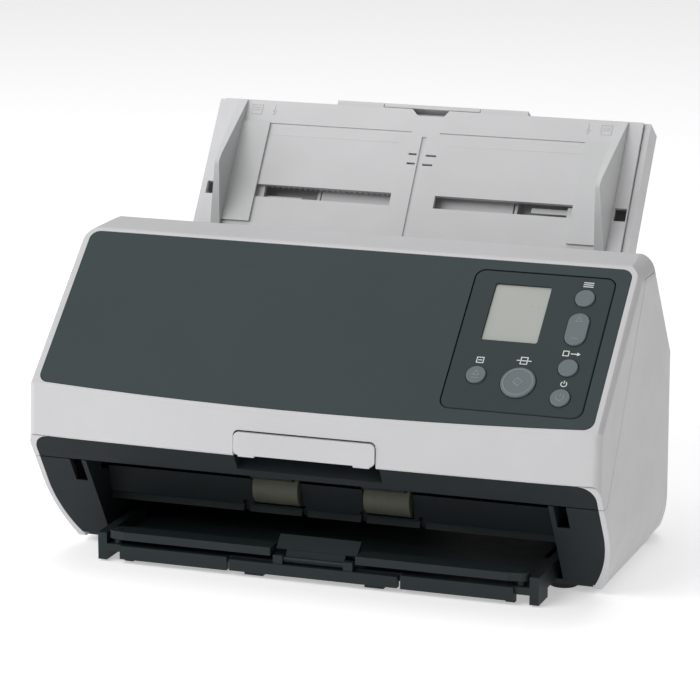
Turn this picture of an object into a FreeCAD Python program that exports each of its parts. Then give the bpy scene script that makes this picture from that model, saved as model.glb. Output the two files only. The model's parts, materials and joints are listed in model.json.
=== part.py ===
import FreeCAD, Part
import math
import os

# Sheet fed document scanner, millimetres, +Z up, front towards -Y.
# Sections are drawn from a front datum: y = 0 at the lower edge of the sloping
# front panel and z = 0 on the desk. Everything is moved back by ORIGIN_Y at the
# end, so that the origin lies on the desk under the middle of the machine.

V = FreeCAD.Vector
os.makedirs("parts", exist_ok=True)

# ---- driving dimensions -------------------------------------------------
BODY_WIDTH = 300.0
BODY_BACK = 161.0
HALF = BODY_WIDTH / 2
UNDERSIDE = 3.0
WALL = 2.5
GAP = 0.3
EDGE_STRIP = 2.6
CHIN_BOTTOM = (-3.0, 66.6)
CHIN_TOP = (-1.2, 93.1)
SLOPE_TOP = (73.0, 159.5)
TOP_BACK = (100.7, 160.6)
BACK_SHOULDER = (BODY_BACK, 74.8)
BACK_FOOT = (BODY_BACK, UNDERSIDE)
FRONT_FOOT = (37.3, UNDERSIDE)
CHEEK_BEND = (24.0, 24.5)
CHIN_BOW = 3.0
SEAM_HEIGHT = 53.5
SEAM_FRONT = 12.0
SEAM_TOP = (77.3, 152.5)
ORIGIN_Y = 99.1

PATH_ANGLE = math.radians(41.8)
NIP = (35.7, 46.1)
EXIT_AT = 0.0
FEED_AT = 66.0
PICK_AT = 103.0
EXIT_RADIUS = 9.5
FEED_RADIUS = 10.0
PICK_RADIUS = 12.0
BRAKE_RADIUS = 10.0
IDLER_RADIUS = 6.0
SHAFT_RADIUS = 3.0
BORE_PLAY = 0.06
PANEL_HEIGHT = 59.6
PANEL_LOW = 5.7
PANEL_HIGH = 101.1
PANEL_HALF = 145.0

CHUTE_ANGLE = math.radians(54.9)
CHUTE_TOP = (192.6, 209.2)
CHUTE_HALF = 121.0
CHUTE_LENGTH = 80.0
CHUTE_FACE = 2.0
CHUTE_DEPTH = 15.0
SLOT_LOW = -56.9
SLOT_HIGH = -49.6
PINION_S = -53.2
ARM_TIP = 64.0
GUIDE_OUTER = 109.6
GUIDE_INNER = 104.0
FLANGE_INNER = 88.3

HINGE = (100.5, 148.5)
HINGE_RADIUS = 3.0
HINGE_SWEEP = 8.2
PULLEY_RADIUS = 8.0
MOTOR_AT = (118.0, 40.0)
OPENING_HALF = 122.0
FRAME_IN = 132.0
FRAME_OUT = 135.0
TRAY_HALF = 104.6
HOPPER_HALF = 124.0
HOPPER_LOW = 58.0

HANDLE_PIVOT = (-3.2, 76.8)
HANDLE_HALF = 37.0
HANDLE_LOW = 67.6
HANDLE_HIGH = 79.0
HANDLE_PIN_RADIUS = 1.0
KEY_RISE = 0.9
KEY_PLAY = 0.35
PINION_PITCH = 5.0
TOOTH_PITCH = math.pi
PINION_TEETH = 10
GUIDE_PIVOT = (107.2, 12.0)
GUIDE_PIN_RADIUS = 2.2
STOP_PIVOT = (8.6, 11.6)
STOP_PIN_RADIUS = 1.2
SCREW_PLACES = [(x, y) for x in (-128, 128) for y in (62, 146)]
FOOT_PLACES = [(x, y) for x in (-118, 118) for y in (50, 134)]
EXIT_SPANS = [(17.7, 41.9), (-41.9, -17.7)]
FEED_SPANS = [(30, 50), (-50, -30)]
PICK_SPANS = [(6, 28), (-28, -6)]
BRAKE_SPANS = [(7, 27), (-27, -7)]

NODES = {}


# ---- drawing helpers ----------------------------------------------------
def box(x0, x1, y0, y1, z0, z1):
    return Part.makeBox(x1 - x0, y1 - y0, z1 - z0, V(x0, y0, z0))


def both_sides(x0, x1, y0, y1, z0, z1):
    return [box(x0, x1, y0, y1, z0, z1), box(-x1, -x0, y0, y1, z0, z1)]


def rod(x0, x1, centre, radius):
    return Part.makeCylinder(radius, x1 - x0, V(x0, centre[0], centre[1]), V(1, 0, 0))


def corner_arc(before, corner, after, radius):
    """Tangent points and middle of the round that replaces a sharp corner."""
    a = (before - corner).normalize()
    b = (after - corner).normalize()
    half_angle = a.getAngle(b) / 2
    reach = radius / math.tan(half_angle)
    bisector = (a + b).normalize()
    middle = corner + bisector * (radius / math.sin(half_angle) - radius)
    return corner + a * reach, middle, corner + b * reach


def outline(points, radii=None):
    """Closed face through the points, each corner rounded by its own radius."""
    count = len(points)
    radii = radii or [0] * count
    stops = []
    edges = []
    for i in range(count):
        here = points[i]
        if radii[i] > 0:
            start, middle, end = corner_arc(points[i - 1], here, points[(i + 1) % count], radii[i])
            edges.append(Part.Arc(start, middle, end).toShape())
            stops.append((start, end))
        else:
            edges.append(None)
            stops.append((here, here))
    chain = []
    for i in range(count):
        if edges[i] is not None:
            chain.append(edges[i])
        start = stops[i][1]
        end = stops[(i + 1) % count][0]
        if (end - start).Length > 1e-6:
            chain.append(Part.makeLine(start, end))
    return Part.Face(Part.Wire(Part.__sortEdges__(chain)))


def side_prism(points, x0, x1, radii=None):
    """Outline in the YZ plane pushed along X."""
    face = outline([V(x0, p[0], p[1]) for p in points], radii)
    return face.extrude(V(x1 - x0, 0, 0))


def side_pair(points, x0, x1):
    return [side_prism(points, x0, x1), side_prism(points, -x1, -x0)]


def front_prism(points, y0, y1, radii=None):
    """Outline in the XZ plane pushed along Y."""
    face = outline([V(p[0], y0, p[1]) for p in points], radii)
    return face.extrude(V(0, y1 - y0, 0))


def plan_prism(points, z0, z1, radii=None):
    """Outline in the XY plane pushed along Z."""
    face = outline([V(p[0], p[1], z0) for p in points], radii)
    return face.extrude(V(0, 0, z1 - z0))


def fuse(*shapes):
    flat = []
    for shape in shapes:
        flat.extend(shape if isinstance(shape, list) else [shape])
    result = flat[0]
    for shape in flat[1:]:
        result = result.fuse(shape)
    return result.removeSplitter()


def cut(shape, *tools):
    for tool in tools:
        for one in tool if isinstance(tool, list) else [tool]:
            shape = shape.cut(one)
    return shape


def group(shapes):
    return Part.makeCompound(shapes)


def mirrored(shape):
    return shape.mirror(V(0, 0, 0), V(1, 0, 0))


def add(name, shape):
    NODES[name] = shape


# ---- the two working planes ---------------------------------------------
def on_path(s, h):
    """Point s up the paper path and h above it."""
    along = (math.cos(PATH_ANGLE), math.sin(PATH_ANGLE))
    return (NIP[0] + s * along[0] - h * along[1], NIP[1] + s * along[1] + h * along[0])


def path_slab(x0, x1, s0, s1, h0, h1):
    corners = [on_path(s0, h0), on_path(s1, h0), on_path(s1, h1), on_path(s0, h1)]
    return side_prism(corners, x0, x1)


def path_vector(x, s, h):
    y, z = on_path(s, h)
    return V(x, y, z)


def path_rod(x, s, h0, h1, radius):
    """Round bar standing square to the paper path."""
    start = path_vector(x, s, h0)
    axis = path_vector(x, s, h1) - start
    return Part.makeCylinder(radius, axis.Length, start, axis)


def path_plate(points, h0, h1, radii=None):
    """Outline given as (x, s) pushed square to the paper path."""
    face = outline([path_vector(x, s, h0) for x, s in points], radii)
    return face.extrude(path_vector(0, 0, h1) - path_vector(0, 0, h0))


def on_chute(s, d):
    """Point s up the chute from its top edge and d in front of its rim plane."""
    along = (math.cos(CHUTE_ANGLE), math.sin(CHUTE_ANGLE))
    return (CHUTE_TOP[0] + s * along[0] - d * along[1], CHUTE_TOP[1] + s * along[1] + d * along[0])


def chute_vector(x, s, d):
    y, z = on_chute(s, d)
    return V(x, y, z)


def chute_slab(x0, x1, s0, s1, d0, d1):
    corners = [on_chute(s0, d0), on_chute(s1, d0), on_chute(s1, d1), on_chute(s0, d1)]
    return side_prism(corners, x0, x1)


def chute_rod(d0, d1, radius):
    """Round bar square to the chute on the guide pinion's axis."""
    start = chute_vector(0, PINION_S, d0)
    axis = chute_vector(0, PINION_S, d1) - start
    return Part.makeCylinder(radius, axis.Length, start, axis)


def both_sides_chute(x0, x1, s0, s1, d0, d1):
    return [chute_slab(x0, x1, s0, s1, d0, d1), chute_slab(-x1, -x0, s0, s1, d0, d1)]


def chute_plate_shape(points, d0, d1, radii=None):
    """Outline given as (x, s) pushed square to the chute."""
    face = outline([chute_vector(x, s, d0) for x, s in points], radii)
    return face.extrude(chute_vector(0, 0, d1) - chute_vector(0, 0, d0))


# ---- the outer form of the machine --------------------------------------
def inset_polygon(points, inset):
    """Move every side of a convex outline inwards."""
    count = len(points)
    area = 0
    for i in range(count):
        p, q = points[i], points[(i + 1) % count]
        area += p[0] * q[1] - q[0] * p[1]
    turn = 1 if area > 0 else -1
    lines = []
    for i in range(count):
        p, q = points[i], points[(i + 1) % count]
        length = math.hypot(q[0] - p[0], q[1] - p[1])
        inward = (-(q[1] - p[1]) / length * turn, (q[0] - p[0]) / length * turn)
        start = (p[0] + inward[0] * inset, p[1] + inward[1] * inset)
        lines.append((start, (q[0] - p[0], q[1] - p[1])))
    moved = []
    for i in range(count):
        (p, r), (q, w) = lines[i - 1], lines[i]
        cross = r[0] * w[1] - r[1] * w[0]
        k = ((q[0] - p[0]) * w[1] - (q[1] - p[1]) * w[0]) / cross
        moved.append((p[0] + k * r[0], p[1] + k * r[1]))
    return moved


# The chin stands CHIN_BOW forward of the cheeks in the middle of the machine.
BOW_BOTTOM = (CHIN_BOTTOM[0] - CHIN_BOW - 0.2, CHIN_BOTTOM[1])
BOW_TOP = (-4.6, 90.06)
SIDE_PROFILE = [
    BOW_BOTTOM, BOW_TOP, SLOPE_TOP, TOP_BACK, BACK_SHOULDER, BACK_FOOT, FRONT_FOOT, CHEEK_BEND, CHIN_BOTTOM]
PROFILE_RADII = [0, 0, 5.0, 3.5, 30.0, 4.0, 2.0, 30.0, 0]


def section_face(inset, y):
    """Front elevation: upright sides, round shoulders, sides drawn in at the foot."""
    half = HALF - inset
    foot = half - 9.5
    low = UNDERSIDE + inset
    knee = 40.0
    top = 175.0
    bulge = 76.8
    drop = knee - low
    lean = bulge - math.sqrt(bulge * bulge - drop * drop / 4)
    right = [V(half, y, top), V(half, y, knee), V(half - lean, y, knee - drop / 2), V(foot, y, low)]
    left = [V(-p.x, p.y, p.z) for p in right]
    chain = [
        Part.makeLine(right[0], right[1]), Part.Arc(right[1], right[2], right[3]).toShape(),
        Part.makeLine(right[3], left[3]), Part.Arc(left[3], left[2], left[1]).toShape(),
        Part.makeLine(left[1], left[0]), Part.makeLine(left[0], right[0])]
    return Part.Face(Part.Wire(chain))


def outer_form(inset):
    """The solid that the covers are skins of, drawn in by inset."""
    half = HALF - inset
    radii = [max(r - inset, 0.4) if r else 0 for r in PROFILE_RADII]
    form = side_prism(inset_polygon(SIDE_PROFILE, inset), -half, half, radii)
    form = form.common(section_face(inset, -30).extrude(V(0, 230, 0)))
    back = BODY_BACK - inset
    round_back = 36.0 - inset
    plan = [(-half, -40), (half, -40), (half, back), (-half, back)]
    form = form.common(plan_prism(plan, -5, 180, [0, 0, round_back, round_back]))
    shoulder = 11.0 - inset
    roof = TOP_BACK[1] - inset
    crown = [(-half, -5), (half, -5), (half, roof), (-half, roof)]
    form = form.common(front_prism(crown, -40, 200, [0, 0, shoulder, shoulder]))
    slope = [(-half, -200), (half, -200), (half, 60.6 - inset), (-half, 60.6 - inset)]
    edge = 5.0 - inset * 0.6
    face = outline([path_vector(x, -60, h) for x, h in slope], [0, 0, edge, edge])
    form = form.common(face.extrude(path_vector(0, 200, 0) - path_vector(0, -60, 0)))
    return form.common(back_section(inset, shoulder)).common(chin_bow(inset))


def back_section(inset, radius):
    """Block that rounds the two side edges of the back slope."""
    half = HALF - inset
    run, fall = BACK_SHOULDER[0] - TOP_BACK[0], BACK_SHOULDER[1] - TOP_BACK[1]
    length = math.hypot(run, fall)
    out = (-fall / length, run / length)
    start = V(0, TOP_BACK[0] - out[0] * inset, TOP_BACK[1] - out[1] * inset)
    start = start - V(0, run, fall) * 2
    corners = [(-half, -300), (half, -300), (half, 0), (-half, 0)]
    face = outline([start + V(x, out[0] * h, out[1] * h) for x, h in corners], [0, 0, radius, radius])
    return face.extrude(V(0, run, fall) * 5)


def chin_bow(inset):
    """Block whose front is bowed forward by CHIN_BOW and follows the chin's lean."""
    half = HALF - inset
    lean = (CHIN_TOP[0] - CHIN_BOTTOM[0]) / (CHIN_TOP[1] - CHIN_BOTTOM[1])
    low = -5.0
    y = CHIN_BOTTOM[0] + inset - lean * (CHIN_BOTTOM[1] - low)
    side = half - 4.0
    left, right = V(-side, y, low), V(side, y, low)
    bow = V(0, y - CHIN_BOW, low)
    turn_right = V(half - 1.2, y + 1.2, low)
    turn_left = V(-turn_right.x, turn_right.y, low)
    corner_right, corner_left = V(half, y + 4, low), V(-half, y + 4, low)
    back_right, back_left = V(half, 240, low), V(-half, 240, low)
    chain = [
        Part.Arc(left, bow, right).toShape(), Part.Arc(right, turn_right, corner_right).toShape(),
        Part.makeLine(corner_right, back_right), Part.makeLine(back_right, back_left),
        Part.makeLine(back_left, corner_left), Part.Arc(corner_left, turn_left, left).toShape()]
    return Part.Face(Part.Wire(chain)).extrude(V(0, lean * 185, 185))


def cover_side(gap=0.0):
    """Everything above and in front of the seam between cover and base."""
    line = [
        (-30, SEAM_HEIGHT + gap), (SEAM_FRONT - gap, SEAM_HEIGHT + gap),
        (SEAM_TOP[0] - gap, SEAM_TOP[1] + gap), (140, SEAM_TOP[1] + gap), (140, 190), (-30, 190)]
    return side_prism(line, -HALF - 5, HALF + 5)


def front_window(inset, z0, z1, corner):
    """Prism through the front, inside the white side edges."""
    block = section_face(inset, -30).extrude(V(0, 110, 0))
    wide = HALF - inset
    frame = [(-wide, z0), (wide, z0), (wide, z1), (-wide, z1)]
    return block.common(front_prism(frame, -30, 80, [0, 0, corner, corner]))


def ruled_block(ends, middle, away, slant):
    """Block in front of a ruled surface: a bowed line carried along slant."""
    right = V(*ends)
    left = V(-right.x, right.y, right.z)
    far = V(*away)
    chain = [
        Part.Arc(left, V(*middle), right).toShape(), Part.makeLine(right, right + far),
        Part.makeLine(right + far, left + far), Part.makeLine(left + far, left)]
    direction = V(*slant) * 20
    face = Part.Face(Part.Wire(chain))
    face.translate(-direction)
    return face.extrude(direction * 2)


def soften_chin(form):
    """Facets that round the two long bowed edges of the chin."""
    wide = 152.0
    surface = 59.65
    away = path_vector(0, -40, 0) - path_vector(0, 0, 0)
    for setback, angle in CHIN_FACETS:
        ends = path_vector(wide, 4.1 + setback, surface)
        middle = path_vector(0, -0.35 + setback, surface)
        slant = (0, math.cos(math.radians(angle)), math.sin(math.radians(angle)))
        form = form.cut(ruled_block(ends, middle, away, slant))
    low = CHIN_BOTTOM[1]
    front = CHIN_BOTTOM[0]
    ends = (wide, front + 1.1, low)
    bevel = ruled_block(ends, (0, front - CHIN_BOW + 0.9, low), (0, -30, 0), (0, -0.7, 0.7))
    return form.cut(bevel.common(box(-wide, wide, -60, 20, low, low + 12)))


# Setback from the edge and slope of each facet that rounds the chin's top.
CHIN_FACETS = ((0.99, 52.9), (0.68, 64.0), (0.35, 75.0))

OUTER = soften_chin(outer_form(0))
INNER = outer_form(WALL)
SKIN = OUTER.cut(INNER)
COVER_REGION = cover_side(GAP / 2).fuse(rod(-147.0, 147.0, HINGE, HINGE_SWEEP))
BASE_REGION = OUTER.cut(cover_side(-GAP / 2)).cut(rod(-147.3, 147.3, HINGE, HINGE_SWEEP + GAP))


# ---- covers -------------------------------------------------------------
def make_cover_shell():
    shell = SKIN.common(COVER_REGION)
    window = front_window(EDGE_STRIP, 30, CHIN_BOTTOM[1], 8.0)
    shell = cut(shell, window)
    panel_seat = panel_outline(0.3, -WALL - 1)
    shell = cut(shell, panel_seat)
    seat = [(-37.5, 50), (37.5, 50), (37.5, HANDLE_HIGH + 0.9), (-37.5, HANDLE_HIGH + 0.9)]
    handle_seat = front_prism(seat, -20, 4, [0, 0, 3.0, 3.0])
    shell = cut(shell, handle_seat, rod(-42.1, 42.1, HANDLE_PIVOT, HANDLE_PIN_RADIUS))
    back_mouth = box(-124, 124, 96, 140, 140, 156.5)
    return shell.cut(back_mouth)


def panel_outline(margin, low, high=1.5):
    """Front panel's outline, its lower edge bowed with the chin."""
    half = PANEL_HALF + margin
    low_s = PANEL_LOW - margin
    top_s = PANEL_HIGH + margin
    radius = 5.5
    corner = path_vector(0, 0, 0)
    bow = 4.1
    a, b = path_vector(-half, low_s, low), path_vector(half, low_s, low)
    c, d = path_vector(half, top_s, low), path_vector(-half, top_s, low)
    first, first_mid, first_end = corner_arc(d, a, b, radius)
    second, second_mid, second_end = corner_arc(a, b, c, radius)
    third, third_mid, third_end = corner_arc(b, c, d, radius)
    fourth, fourth_mid, fourth_end = corner_arc(c, d, a, radius)
    belly = path_vector(0, low_s - bow, low)
    chain = [
        Part.Arc(first, first_mid, first_end).toShape(),
        Part.Arc(first_end, belly, second).toShape(),
        Part.Arc(second, second_mid, second_end).toShape(), Part.makeLine(second_end, third),
        Part.Arc(third, third_mid, third_end).toShape(), Part.makeLine(third_end, fourth),
        Part.Arc(fourth, fourth_mid, fourth_end).toShape(), Part.makeLine(fourth_end, first)]
    rise = path_vector(0, 0, PANEL_HEIGHT + high) - path_vector(0, 0, 0)
    sink = path_vector(0, 0, PANEL_HEIGHT + low) - path_vector(0, 0, 0)
    face = Part.Face(Part.Wire(chain))
    face.translate(sink - (path_vector(0, 0, low) - corner))
    return face.extrude(rise - sink)


# Control field on the front panel, in x and in s up the slope.
FIELD = {"left": 66.2, "right": 138.0, "low": 11.6, "high": 95.0, "corner": 5.0}


def field_outline(margin, low, high):
    f = FIELD
    x0, x1 = f["left"] - margin, f["right"] + margin
    s0, s1 = f["low"] - margin, f["high"] + margin
    corner = f["corner"] + margin
    points = [(x0, s0), (x1, s0), (x1, s1), (x0, s1)]
    return path_plate(points, PANEL_HEIGHT + low, PANEL_HEIGHT + high, [corner] * 4)


def make_front_panel():
    panel = panel_outline(0, -WALL, 0.0)
    return cut(panel, field_outline(0.5, -4, 2))


BUTTONS = {
    "menu_button": (124.6, 81.9, 5.0, 5.0),
    "manual_feed_button": (125.3, 40.1, 5.0, 5.0),
    "power_button": (125.2, 22.4, 5.0, 5.0),
    "stop_button": (80.5, 31.8, 5.0, 5.0),
    "scan_button": (102.5, 29.2, 8.8, 8.8),
    "rocker_button": (124.7, 63.1, 5.4, 9.6),
}
DISPLAY = {"left": 77.6, "right": 106.5, "low": 53.1, "high": 87.5}


def edge_height(edge):
    """Lowest h of an edge above the paper path."""
    up, along = math.cos(PATH_ANGLE), math.sin(PATH_ANGLE)
    return min((v.Z - NIP[1]) * up - (v.Y - NIP[0]) * along for v in edge.Vertexes)


def button_body(x, s, half_x, half_s, h0, h1):
    """Round cap, or a capsule where it is longer than wide."""
    if half_s <= half_x + 0.1:
        return path_rod(x, s, h0, h1, half_x)
    points = [
        (x - half_x, s - half_s), (x + half_x, s - half_s),
        (x + half_x, s + half_s), (x - half_x, s + half_s)]
    return path_plate(points, h0, h1, [half_x - 0.01] * 4)


def chamfer_top(shape, size):
    """Bevel round the face that lies level with the front panel."""
    edges = [edge for edge in shape.Edges if edge_height(edge) > PANEL_HEIGHT - 0.01]
    return shape.makeChamfer(size, edges)


def make_control_panel():
    plate = chamfer_top(field_outline(0, -WALL, 0.0), 0.45)
    for x, s, half_x, half_s in BUTTONS.values():
        room = (half_x + KEY_PLAY, half_s + KEY_PLAY)
        plate = plate.cut(button_body(x, s, *room, PANEL_HEIGHT - 5, PANEL_HEIGHT + 2))
    d = DISPLAY
    hole = [(d["left"], d["low"]), (d["right"], d["low"]), (d["right"], d["high"]), (d["left"], d["high"])]
    return plate.cut(path_plate(hole, PANEL_HEIGHT - 5, PANEL_HEIGHT + 2, [1.2] * 4))


def make_button(x, s, half_x, half_s):
    cap = button_body(x, s, half_x, half_s, PANEL_HEIGHT - 3.2, PANEL_HEIGHT + KEY_RISE)
    rim = [edge for edge in cap.Edges if edge_height(edge) > PANEL_HEIGHT + KEY_RISE - 0.01]
    cap = cap.makeFillet(0.55, rim)
    collar = button_body(x, s, half_x + 1.0, half_s + 1.0, PANEL_HEIGHT - 4.6, PANEL_HEIGHT - 3.2)
    return fuse(cap, collar)


def make_display_window():
    d = DISPLAY
    m = 0.15
    points = [
        (d["left"] + m, d["low"] + m), (d["right"] - m, d["low"] + m),
        (d["right"] - m, d["high"] - m), (d["left"] + m, d["high"] - m)]
    return path_plate(points, PANEL_HEIGHT - WALL, PANEL_HEIGHT - 1.0, [1.0] * 4)


def make_control_board():
    board = path_slab(69, 127, 15, 92, PANEL_HEIGHT - 8.2, PANEL_HEIGHT - 6.6)
    d = DISPLAY
    module = path_slab(
        d["left"] - 1, d["right"] + 1, d["low"] - 1, d["high"] + 1, PANEL_HEIGHT - 6.6, PANEL_HEIGHT - 2.7)
    return fuse(board, module)


def make_exit_hood():
    hood = SKIN.common(front_window(EDGE_STRIP + 0.2, SEAM_HEIGHT + GAP, CHIN_BOTTOM[1] - 0.2, 8.0))
    shelf = box(-127.5, 127.5, 6.2, 24, SEAM_HEIGHT + 1.0, SEAM_HEIGHT + 3.2)
    pocket = box(-38.2, 38.2, -20, 9, 57.6, 90)
    scoop = side_prism([(2.6, 57.6), (11.8, 66.4), (13.4, 65.2), (5.0, 55.6), (3.6, 56.2)], -38.2, 38.2)
    sides = both_sides(38.2, 39.8, -4, 13, 56.4, 66.4)
    sides = [side.common(OUTER) for side in sides]
    return fuse(cut(fuse(hood, shelf), pocket), scoop, sides)


def make_side_cover():
    skin = SKIN.common(BASE_REGION)
    skin = skin.common(box(HOPPER_HALF + 0.3, HALF + 5, -30, 129.8, 0, 180))
    skin = skin.cut(front_window(EDGE_STRIP, -5, SEAM_HEIGHT + 30, 0.5))
    return skin.cut(box(0, FRAME_OUT + 2, -30, 130, 0, 90))


def make_rear_cover():
    skin = SKIN.common(BASE_REGION)
    skin = skin.common(box(-HALF - 5, HALF + 5, 130.1, 200, UNDERSIDE + WALL + 0.1, 180))
    mouth = box(-HOPPER_HALF - 0.3, HOPPER_HALF + 0.3, 100, 170, HOPPER_LOW - 0.3, 200)
    ports = [box(-112, -88, 150, 175, 20, 34), box(-76, -60, 150, 175, 20, 34)]
    lock_slot = box(118, 125, 150, 175, 18, 21)
    vents = [box(20 + 7 * i, 23.5 + 7 * i, 150, 175, 24, 56) for i in range(9)]
    return cut(skin, mouth, ports, lock_slot, vents)


def make_hopper_cover():
    """Raised middle of the back: holds the chute and walls in the paper mouth."""
    outside = [
        (BODY_BACK, HOPPER_LOW), (BODY_BACK, 122), (158.7, 134.8), (145.0, 144.0),
        (142.3, 141.5), (142.3, 136.6), (128.5, 123.8), (128.5, HOPPER_LOW)]
    inside = [
        (158.5, 50), (158.5, 121.8), (156.4, 133.4), (145.3, 141.0), (144.4, 140.0),
        (144.4, 135.0), (131, 122.0), (120, 112), (120, 50)]
    shell = side_prism(outside, -HOPPER_HALF, HOPPER_HALF, [0, 8, 6, 0, 0, 0, 0, 0])
    shell = shell.cut(side_prism(inside, -HOPPER_HALF + 2.4, HOPPER_HALF - 2.4))
    cheek = [on_path(114, -3.4), on_path(116, 12), (131, 137), (146.5, 147), (148, 142), (142.3, 136.6)]
    cheeks = side_pair(cheek, HOPPER_HALF - 2.4, HOPPER_HALF)
    leg_slots = both_sides(83.7, 108.3, 129, 159, 118, 147)
    chute_room = chute_slab(-CHUTE_HALF - 0.4, CHUTE_HALF + 0.4, -CHUTE_LENGTH - 0.4, 5, -CHUTE_DEPTH - 1, 30)
    return cut(fuse(shell, cheeks), leg_slots, chute_room)


def make_bottom_plate():
    plate = OUTER.common(box(-HALF, HALF, 41, 161, UNDERSIDE, UNDERSIDE + WALL))
    return plate.common(box(-136.8, 136.8, 41, 158.3, 0, 10))


def make_exit_bezel():
    cheeks = SKIN.common(front_window(EDGE_STRIP + 0.2, -5, SEAM_HEIGHT - 0.2, 0.5))
    cheeks = cheeks.common(box(-HALF, HALF, -30, 40.8, UNDERSIDE, 60))
    opening = box(-OPENING_HALF, OPENING_HALF, -30, 80, UNDERSIDE + 2.2, 80)
    pockets = both_sides(OPENING_HALF + 2.5, 131, -10, 30, 40.3, 60)
    cheeks = cut(cheeks, opening, pockets)
    wall = [(5.5, 53.2), (21, 53.2), (26, 43.5), (60, 36), (60, 5.8), (37, 5.8), (25, 24.6)]
    walls = side_pair(wall, OPENING_HALF, OPENING_HALF + 2.4)
    ledge = side_prism([(38.4, 25), (52, 25), (52, 30), (44, 33.5), (40.5, 30)], -OPENING_HALF, OPENING_HALF)
    wall_line = [(38.2, 29.0), (34.4, 43.4), (36.2, 43.4), (40.4, 29.0)]
    front_wall = side_prism(wall_line, -OPENING_HALF, OPENING_HALF)
    notches = [box(x - 1.6, x + 1.6, 36, 41.2, 20, 31) for x in (-47.3, -15.9, 15.9, 47.3)]
    centre = shaft_centres()["exit"]
    shaft_holes = rod(-OPENING_HALF - 5, OPENING_HALF + 5, centre, SHAFT_RADIUS + 1)
    roller_room = [rod(a - 1.2, b + 1.2, centre, EXIT_RADIUS + 0.8) for a, b in EXIT_SPANS]
    return cut(fuse(cheeks, walls, ledge, front_wall), notches, shaft_holes, roller_room)


def frame_outline():
    return [
        (45, UNDERSIDE + WALL + 0.1), (150, UNDERSIDE + WALL + 0.1), (150, 74), (126, 114), (106, 146),
        (103.5, 152), (94, 152), (86, 146), (60, 112), (30, 66), (26, 50), (44, 30)]


def shaft_centres():
    return {
        "exit": on_path(EXIT_AT, -EXIT_RADIUS), "feed": on_path(FEED_AT, -FEED_RADIUS),
        "pick": on_path(PICK_AT, -PICK_RADIUS)}


def make_side_frame(x0, x1, motor_hole):
    plate = side_prism(frame_outline(), x0, x1)
    for centre in shaft_centres().values():
        plate = plate.cut(rod(x0 - 1, x1 + 1, centre, 5.5))
    plate = plate.cut(rod(x0 - 1, x1 + 1, HINGE, HINGE_RADIUS))
    sweep = rod(x0 - 1, x1 + 1, HINGE, HINGE_SWEEP + GAP).cut(rod(x0 - 1, x1 + 1, HINGE, 4.2))
    plate = plate.cut(sweep.common(box(-HALF, HALF, HINGE[0], 140, 100, 170)))
    if motor_hole:
        plate = plate.cut(rod(x0 - 1, x1 + 1, MOTOR_AT, 6.0))
    return plate


def make_lower_bearings():
    rings = []
    for centre in shaft_centres().values():
        for x0 in (FRAME_IN - 1, -FRAME_OUT - 1):
            ring = rod(x0, x0 + 5, centre, 5.5)
            rings.append(ring.cut(rod(x0 - 1, x0 + 6, centre, SHAFT_RADIUS + BORE_PLAY)))
    return group(rings)


def roller_windows(s, length, spans, h0, h1):
    return [path_slab(a, b, s - length, s + length, h0, h1) for a, b in spans]


def grown(spans, margin):
    return [(a - margin, b + margin) for a, b in spans]


def make_lower_guide():
    plate = path_slab(-FRAME_IN + 0.5, FRAME_IN - 0.5, 1.0, 139.0, -3.4, -1.0)
    lip = path_slab(-121.5, 121.5, 4.8, 7.0, -16.5, -3.4)
    feed_ribs = [path_slab(x, x + 1.6, 112, 138, -1.0, -0.2) for x in range(-112, 113, 28)]
    guide = cut(fuse(plate, lip, feed_ribs), both_sides(HOPPER_HALF - 2.9, 140, 100, 170, 118.5, 200))
    guide = cut(guide, roller_windows(EXIT_AT, 14, grown(EXIT_SPANS, 1.0), -25, 3))
    guide = cut(guide, roller_windows(FEED_AT, 10, grown(FEED_SPANS, 1.0), -5, 3))
    guide = cut(guide, roller_windows(PICK_AT, 12, grown(PICK_SPANS, 1.0), -5, 3))
    return cut(guide, path_slab(-114.3, 114.3, 27.8, 40.2, -5, 3))


def make_roller_set(centre, spans, radius):
    sleeves = []
    for a, b in spans:
        sleeve = rod(a, b, centre, radius)
        sleeves.append(sleeve.cut(rod(a - 1, b + 1, centre, SHAFT_RADIUS)))
    return group(sleeves)


def make_driven_shaft(centre):
    shaft = rod(-FRAME_OUT - 2.2, 141, centre, SHAFT_RADIUS)
    pulley = rod(137.2, 141, centre, PULLEY_RADIUS)
    return fuse(shaft, pulley)


def belt_face(radius):
    centres = shaft_centres()
    corners = [centres["exit"], centres["feed"], centres["pick"], MOTOR_AT]
    wire = Part.makePolygon([V(137.8, y, z) for y, z in corners + corners[:1]])
    return Part.Face(wire.makeOffset2D(radius, 0, False, False, False))


def make_belt():
    outer = belt_face(PULLEY_RADIUS + 1.7)
    inner = belt_face(PULLEY_RADIUS + 0.3)
    return outer.cut(inner).extrude(V(2.8, 0, 0))


def make_sensor_unit(s0, s1, sign):
    """Contact image sensor: a long bar beside the path, open for its glass."""
    bar = path_slab(-114, 114, s0, s1, *sorted((sign * 2.2, sign * 19)))
    seat = path_slab(-111, 111, s0 + 1.5, s1 - 1.5, *sorted((sign * 1.0, sign * 3.8)))
    return bar.cut(seat)


def make_sensor_glass(s0, s1, sign):
    return path_slab(-110.8, 110.8, s0 + 1.7, s1 - 1.7, *sorted((sign * 1.4, sign * 3.7)))


def make_upper_guide():
    plate = path_slab(-127.5, 127.5, 3.0, 111.0, 1.2, 3.0)
    lip = path_slab(-127.5, 127.5, 3.6, 5.2, 3.0, 8.0)
    guide = cut(fuse(plate, lip), roller_windows(FEED_AT, 8.6, grown(FEED_SPANS, 1.0), 0, 5))
    guide = cut(guide, roller_windows(PICK_AT, 12, grown(BRAKE_SPANS, 1.0), 0, 5))
    guide = cut(guide, roller_windows(EXIT_AT, 7.5, grown(EXIT_SPANS, 1.0), 0, 9))
    return cut(guide, path_slab(-115, 115, 43.6, 58.4, 0, 5))


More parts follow.
